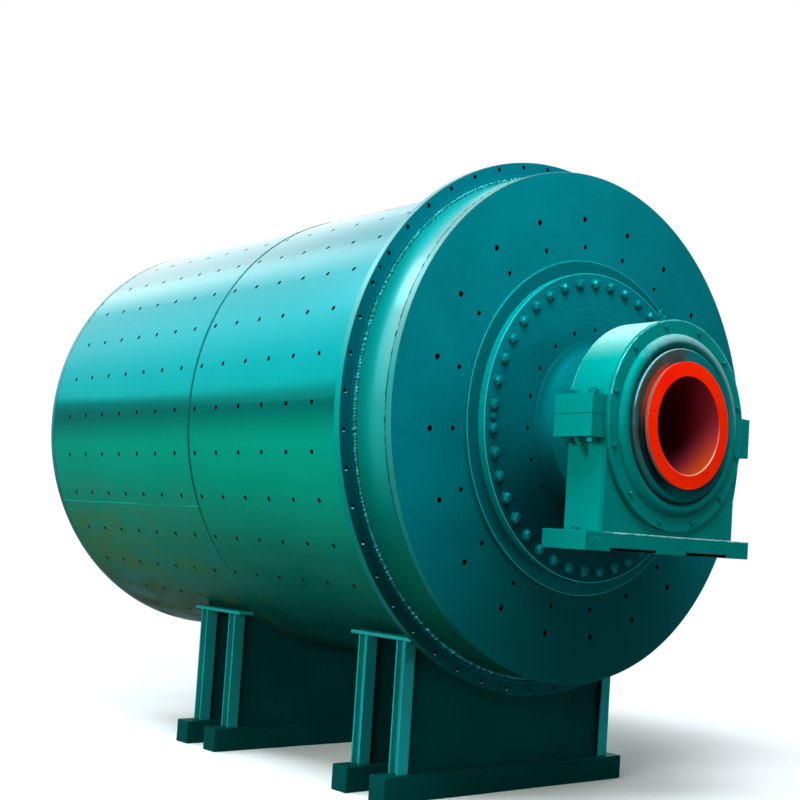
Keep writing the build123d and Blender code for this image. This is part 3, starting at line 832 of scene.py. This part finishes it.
# A hex head or nut on a washer, along +X from the origin. Dome is the part of its height
# that is rounded off, and crown the width left at the top of that, as a share of its own.
def hex_head(radius, height, washer_radius, washer_height, dome=0.12, crown=0.86):
    stand = height - washer_height
    bpy.ops.mesh.primitive_cylinder_add(
        vertices=6, radius=radius, depth=stand, location=(0, 0, washer_height + stand / 2)
    )
    head = bpy.context.object
    settle(head)
    open_with(head, "polygons", lambda face: face.normal.z > 0.9)
    bpy.ops.transform.translate(value=(0, 0, -dome * height))
    bpy.ops.mesh.extrude_region_move(TRANSFORM_OT_translate={"value": (0, 0, dome * height)})
    bpy.ops.transform.resize(value=(crown, crown, 1))
    bpy.ops.mesh.inset(thickness=0.25 * radius)
    bpy.ops.transform.translate(value=(0, 0, 0.02 * height))
    bpy.ops.object.mode_set(mode="OBJECT")
    bpy.ops.mesh.primitive_cylinder_add(
        vertices=20, radius=washer_radius, depth=washer_height, location=(0, 0, washer_height / 2)
    )
    washer = bpy.context.object
    settle(washer)
    edge = washer.modifiers.new("edge", "BEVEL")
    edge.width = washer_height * 0.3
    edge.limit_method = "ANGLE"
    apply_modifiers(washer)
    join(head, washer)
    head.data.transform(Matrix.Rotation(math.pi / 2, 4, "Y"))
    return head


# A threaded stud end, along +X from the origin
def thread_end(radius, length, rings=14):
    bpy.ops.mesh.primitive_cylinder_add(
        vertices=16, radius=radius, depth=length, location=(0, 0, length / 2)
    )
    stud = bpy.context.object
    settle(stud)
    bpy.ops.object.mode_set(mode="EDIT")
    for i in range(1, rings):
        bpy.ops.mesh.select_all(action="SELECT")
        bpy.ops.mesh.bisect(plane_co=(0, 0, length * i / rings), plane_no=(0, 0, 1))
    bpy.ops.object.mode_set(mode="OBJECT")
    for vertex in stud.data.vertices:
        if round(vertex.co.z / length * rings) % 2 == 0:
            vertex.co.x *= 0.90
            vertex.co.y *= 0.90
    stud.data.transform(Matrix.Rotation(math.pi / 2, 4, "Y"))
    return stud


# One object from copies of a model, each with its own mesh, and the model removed
def repeated(model, places, name):
    copies = []
    for place in places:
        copy = model.copy()
        copy.data = model.data.copy()
        copy.data.transform(place)
        bpy.context.scene.collection.objects.link(copy)
        copies.append(copy)
    bpy.data.objects.remove(model)
    join(*copies)
    copies[0].name = name
    return copies[0]


# Places for a model that looks out along the mill axis, or straight up or down
def facing(point, side, turn):
    swing = Matrix.Rotation(0 if side > 0 else math.pi, 4, "Z")
    return Matrix.Translation(point) @ swing @ Matrix.Rotation(turn, 4, "X")


def standing(point, side, turn):
    tip = Matrix.Rotation(-math.pi / 2 * side, 4, "Y")
    return Matrix.Translation(point) @ tip @ Matrix.Rotation(turn, 4, "X")


# Paints fasteners and shows them in place of their CAD node
def show_fasteners(piece, body, node):
    smooth(piece, 25)
    dress(piece, FASTENER, body)
    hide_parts(node)


# Bolts on the trunnion flange, with a dowel between two of them on each side
def flange_bolts(end, side):
    def at(i):
        degrees = ROTOR_PHASE + i * 360.0 / FLANGE_BOLTS
        point = round_axis(side * FLANGE_FACE_X, FLANGE_BOLT_CIRCLE, degrees)
        return facing(point, side, random.uniform(0, math.pi))

    bolt = hex_head(
        radius=0.031, height=0.028, washer_radius=0.034, washer_height=0.004, dome=0.45, crown=0.55
    )
    bolts = repeated(bolt, [at(i) for i in range(FLANGE_BOLTS)], "flange_bolts_" + end + "_hex")
    dowel = hex_head(radius=0.020, height=0.018, washer_radius=0.022, washer_height=0.003)
    dowels = repeated(dowel, [at(i) for i in FLANGE_DOWELS], "flange_dowels_" + end)
    join(bolts, dowels)
    show_fasteners(bolts, "rotor", "flange_bolts_" + end)


# Bolts on the retainer ring
def ring_bolts(end, side):
    head = hex_head(
        radius=0.0145, height=0.013, washer_radius=0.017, washer_height=0.003, dome=0.40, crown=0.60
    )
    places = []
    for i in range(RING_BOLTS):
        degrees = RING_BOLT_START + i * 360.0 / RING_BOLTS
        point = round_axis(side * RETAINER_FACE_X, RING_BOLT_CIRCLE, degrees)
        places.append(facing(point, side, random.uniform(0, math.pi)))
    bolts = repeated(head, places, "ring_bolts_" + end + "_hex")
    show_fasteners(bolts, "stand", "ring_bolts_" + end)


# Studs through the lugs, with a nut and washer above and below
def cap_studs(end, side):
    x = side * BEARING_X
    spots = [Vector((x + i * STUD_X, j * STUD_Y, 0)) for i in (-1, 1) for j in (-1, 1)]
    top = Vector((0, 0, AXIS_Z + CAP_LUG_H))
    bottom = Vector((0, 0, AXIS_Z - PEDESTAL_LUG_H))
    nut = hex_head(radius=0.028, height=0.027, washer_radius=0.033, washer_height=0.004)
    places = []
    for spot in spots:
        turn = random.uniform(0, math.pi)
        places.append(standing(spot + top, 1, turn))
        places.append(standing(spot + bottom, -1, turn))
    nuts = repeated(nut, places, "cap_studs_" + end + "_nuts")
    stud = thread_end(radius=0.0145, length=0.037)
    places = [standing(spot + top, 1, 0) for spot in spots]
    studs = repeated(stud, places, "cap_stud_threads_" + end)
    join(nuts, studs)
    show_fasteners(nuts, "stand", "cap_studs_" + end)


# A screw on the base plate at each end of it
def base_screws(end, side):
    head = hex_head(radius=0.0225, height=0.018, washer_radius=0.026, washer_height=0.004)
    spots = [Vector((side * BEARING_X, y, BASE_TOP_Z)) for y in (-BASE_SCREW_Y, BASE_SCREW_Y)]
    places = [standing(spot, 1, 0.4) for spot in spots]
    screws = repeated(head, places, "base_screws_" + end + "_hex")
    show_fasteners(screws, "stand", "base_screws_" + end)


for end, side in ENDS:
    flange_bolts(end, side)
    ring_bolts(end, side)
    cap_studs(end, side)
    base_screws(end, side)


# 1 for the camera's rays, and for those that show the scene in gloss and through glass
def showing_rays(tree):
    rays = tree.nodes.new("ShaderNodeLightPath").outputs
    seen = rays["Is Camera Ray"]
    for kind in ("Is Glossy Ray", "Is Transmission Ray"):
        either = tree.nodes.new("ShaderNodeMath")
        either.operation = "MAXIMUM"
        tree.links.new(seen, either.inputs[0])
        tree.links.new(rays[kind], either.inputs[1])
        seen = either.outputs[0]
    return seen


# Floor, pale to the camera, with the mill's shadow, and white far off
def floor_finish():
    finish = Finish("floor_finish")
    seen = Wire(finish, showing_rays(finish.tree))
    x, y = finish.parts()[:2]
    bounce = (-y).step(0.6, 2.2) * (-x).step(-1.8, 0.2)
    dim = finish.mix(bounce, (0.060, 0.065, 0.058), (0.300, 0.330, 0.240))
    finish.tone = finish.mix(seen, dim, (0.95, 0.95, 0.95))
    floor = finish.done(Roughness=0.9, Specular_IOR_Level=0.0)
    far = (x * x + y * y).maths("SQRT").step(2.6, 6.5)
    white = finish.add("ShaderNodeEmission", {}, {"Color": (1, 1, 1, 1), "Strength": 1.0})
    shader = Wire(finish, finish.shader.outputs[0])
    both = finish.add("ShaderNodeMixShader", {}, [seen * far, shader, white])
    finish.tree.links.new(both.socket, finish.tree.nodes["Material Output"].inputs["Surface"])
    return floor


def studio_floor():
    bpy.ops.mesh.primitive_plane_add(size=160)
    floor = bpy.context.object
    floor.name = "studio_floor"
    floor.data.materials.append(floor_finish())


# World, a plain soft light, and white where it shows
def studio_world():
    world = bpy.data.worlds.new("studio")
    bpy.context.scene.world = world
    world.use_nodes = True
    tree = world.node_tree
    tree.nodes.clear()
    feeds = [showing_rays(tree)]
    for tone, strength in (((0.86, 0.96, 1.0, 1.0), 0.13), ((1.0, 1.0, 1.0, 1.0), 1.0)):
        light = tree.nodes.new("ShaderNodeBackground")
        light.inputs["Color"].default_value = tone
        light.inputs["Strength"].default_value = strength
        feeds.append(light.outputs[0])
    mix = tree.nodes.new("ShaderNodeMixShader")
    for feed, socket in zip(feeds, mix.inputs):
        tree.links.new(feed, socket)
    out = tree.nodes.new("ShaderNodeOutputWorld")
    tree.links.new(mix.outputs[0], out.inputs["Surface"])


# Name, place, what it looks at, size, power and tone of each soft lamp
LAMPS = (
    ("overhead_lamp", (0.0, -4.0, 9.0), (0, -0.3, 2.8), (13, 2.8), 1050, (0.80, 0.92, 1.0)),
    ("left_lamp", (-9.5, -4.5, 8.4), (-0.3, -0.8, 4.4), (10, 9.6), 800, (0.90, 1.0, 0.99)),
    ("rear_lamp", (-10.4, 2.6, 8.2), (0, -0.5, 3.0), (7, 4.4), 52, (1.0, 0.93, 0.98)),
    ("side_lamp", (3.2, -7.0, 2.6), (1.2, 0, 2.2), (5, 2.5), 460, (0.93, 1.0, 0.92)),
    ("front_lamp", (4.2, -1.4, 6.4), (2.0, 0, 2.4), (2.6, 2.6), 390, (0.88, 0.96, 1.0)),
    ("back_lamp", (-1.0, 9.5, 4.5), (0, 0, 2.2), (9, 3), 420, (0.95, 1.0, 1.0)),
)


def soft_lamp(name, place, target, size, power, tone):
    data = bpy.data.lights.new(name, "AREA")
    data.shape = "RECTANGLE"
    data.size, data.size_y = size
    data.energy = power
    data.color = tone
    lamp = bpy.data.objects.new(name, data)
    bpy.context.scene.collection.objects.link(lamp)
    lamp.location = place
    aim = Vector(target) - Vector(place)
    lamp.rotation_euler = aim.to_track_quat("-Z", "Y").to_euler()


def photo_camera():
    data = bpy.data.cameras.new("camera")
    data.sensor_width = 36.0
    data.lens = 36.0 * LENS_PIXELS / PICTURE_SIZE
    data.shift_x = (PICTURE_SIZE / 2 - CENTRE_ACROSS) / PICTURE_SIZE
    data.shift_y = (CENTRE_DOWN - PICTURE_SIZE / 2) / PICTURE_SIZE
    data.clip_end = 500
    camera = bpy.data.objects.new("camera", data)
    bpy.context.scene.collection.objects.link(camera)
    back = CAMERA_RIGHT.cross(CAMERA_UP)
    turn = Matrix((CAMERA_RIGHT, CAMERA_UP, back)).transposed()
    camera.matrix_world = Matrix.Translation(CAMERA_PLACE) @ turn.to_4x4()
    bpy.context.scene.camera = camera


studio_floor()
studio_world()
for lamp in LAMPS:
    soft_lamp(*lamp)
photo_camera()
bpy.context.scene.view_settings.view_transform = "Standard"
